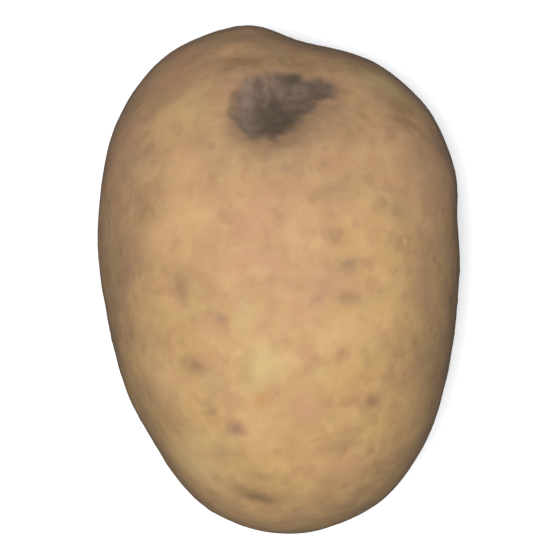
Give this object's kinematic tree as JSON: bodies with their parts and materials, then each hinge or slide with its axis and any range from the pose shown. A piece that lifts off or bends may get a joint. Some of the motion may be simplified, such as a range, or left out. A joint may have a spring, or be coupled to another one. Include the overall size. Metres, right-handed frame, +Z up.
{
  "type": "potato",
  "caption": "Single oval pale-skinned potato lying on its side, with shallow eyes and a dark stem-end scar; a fresh vegetable for cooking.",
  "frame": {"origin": "on the surface that the potato lies on, under the middle of its bounding box", "axes": "+Z up, +Y along the potato's long axis towards the stem end with its scar, +X across it"},
  "size_m": [0.065, 0.092, 0.0581],
  "materials": {
    "skin": "matte"
  },
  "bodies": {
    "root": {"tuber": "skin"}
  },
  "joints": []
}
